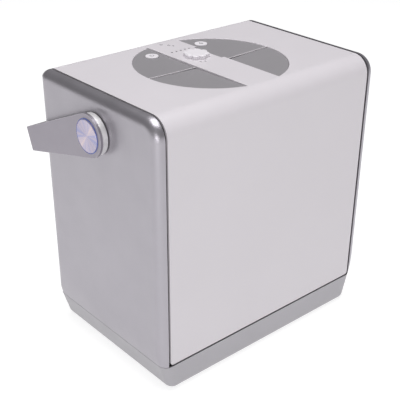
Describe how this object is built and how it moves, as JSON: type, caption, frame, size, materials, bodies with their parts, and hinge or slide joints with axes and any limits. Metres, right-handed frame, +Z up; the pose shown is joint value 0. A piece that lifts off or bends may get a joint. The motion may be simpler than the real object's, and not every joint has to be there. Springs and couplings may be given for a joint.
{
  "type": "cool mist humidifier",
  "caption": "Box-shaped cool mist humidifier with a wrapped white shell, silver sides, a fold-back carry handle and a lobed mist nozzle on top.",
  "frame": {"origin": "on the surface it stands on, in the middle of the whole outline with the handle folded back", "axes": "+X to the right, -Y the front, +Z up"},
  "size_m": [0.3226, 0.2132, 0.3117],
  "materials": {
    "white_shell": "smooth satin-gloss white moulding",
    "white_cap": "smooth white moulding",
    "silver_panel": "satin silver paint",
    "silver_base": "satin silver moulding",
    "grey_inlay": "fine satin grey",
    "handle_metal": "satin anodised",
    "hub_metal": "turned, with a faint blue cast",
    "light_ring": "blue translucent, unlit",
    "dark_plastic": "dark moulded",
    "tank_plastic": "translucent",
    "basin_plastic": "light grey moulded",
    "circuit_board": "solder-masked",
    "rubber": "soft black",
    "silicone": "soft pale grey",
    "steel": "zinc plated",
    "bush_plastic": "low-friction moulded",
    "heat_sink_metal": "extruded",
    "disc_ceramic": "plated",
    "motor_can": "dark",
    "filter_paper": "pleated fibre",
    "ribbon": "flat cable",
    "lens": "dark clear"
  },
  "bodies": {
    "housing": {"base_tray": "silver_base", "rubber_feet": "rubber", "front_top_shell": "white_shell", "rear_cover": "white_shell", "seal_strips": "dark_plastic", "rear_screws": "steel", "base_screws": "steel", "top_deck": "dark_plastic", "control_board": "circuit_board", "indicator_lenses": "lens", "control_ribbon": "ribbon", "mist_duct": "basin_plastic", "duct_gasket": "silicone", "mist_hood": "basin_plastic", "air_duct": "dark_plastic", "water_tank": "tank_plastic", "valve_seat": "silicone", "water_basin": "basin_plastic", "transducer": "disc_ceramic", "transducer_seal": "silicone", "tank_cover": "tank_plastic", "tank_tube": "tank_plastic", "fill_funnels": "tank_plastic", "lid_pins": "steel", "retaining_ring": "steel", "driver_board": "circuit_board", "heat_sink": "heat_sink_metal", "power_board": "circuit_board", "power_inlet": "dark_plastic", "fan_housing": "dark_plastic", "fan_motor": "motor_can", "filter_holder": "dark_plastic", "air_filter": "filter_paper", "rear_left_inlay": "grey_inlay", "rear_right_inlay": "grey_inlay", "left_side_panel": "silver_panel", "left_side_frame": "dark_plastic", "left_hub_spacer": "handle_metal", "left_pivot_bush": "bush_plastic", "right_side_panel": "silver_panel", "right_side_frame": "dark_plastic", "right_hub_spacer": "handle_metal", "right_pivot_bush": "bush_plastic"},
    "handle": {"carry_handle": "handle_metal", "left_pivot_pin": "steel", "left_pin_clip": "steel", "left_hub_disc": "hub_metal", "left_light_ring": "light_ring", "right_pivot_pin": "steel", "right_pin_clip": "steel", "right_hub_disc": "hub_metal", "right_light_ring": "light_ring"},
    "power_button": {"power_button": "white_cap"},
    "mode_button": {"mode_button": "white_cap"},
    "nozzle": {"mist_nozzle": "white_cap"},
    "left_lid": {"left_fill_lid": "grey_inlay"},
    "right_lid": {"right_fill_lid": "grey_inlay"},
    "fan": {"fan_impeller": "dark_plastic", "fan_shaft": "steel"},
    "float": {"float_valve": "white_cap"}
  },
  "joints": [
    {"name": "handle_swing", "type": "hinge", "parent": "housing", "child": "handle", "pos_m": [0, -0.01208, 0.2684], "axis": [1, 0, 0], "range_deg": [0, 109.3]},
    {"name": "power_press", "type": "slide", "parent": "housing", "child": "power_button", "axis": [0, 0, -1], "range_m": [0, 0.001], "stiffness_N_per_m": 500, "springref_m": -0.001},
    {"name": "mode_press", "type": "slide", "parent": "housing", "child": "mode_button", "axis": [0, 0, -1], "range_m": [0, 0.001], "stiffness_N_per_m": 500, "springref_m": -0.001},
    {"name": "nozzle_turn", "type": "hinge", "parent": "housing", "child": "nozzle", "pos_m": [0, 0.01452, 0.3075], "axis": [0, 0, 1], "continuous": true},
    {"name": "left_lid_open", "type": "hinge", "parent": "housing", "child": "left_lid", "pos_m": [0, -0.01103, 0.30252], "axis": [-0.9997, 0, 0.0255], "range_deg": [0, 92]},
    {"name": "right_lid_open", "type": "hinge", "parent": "housing", "child": "right_lid", "pos_m": [0, -0.01103, 0.30252], "axis": [-0.9997, 0, -0.0255], "range_deg": [0, 92]},
    {"name": "fan_spin", "type": "hinge", "parent": "housing", "child": "fan", "pos_m": [0.09, -0.00308, 0.075], "axis": [0, 0, 1], "continuous": true},
    {"name": "float_lift", "type": "slide", "parent": "housing", "child": "float", "axis": [0, 0, 1], "range_m": [0, 0.008]}
  ]
}
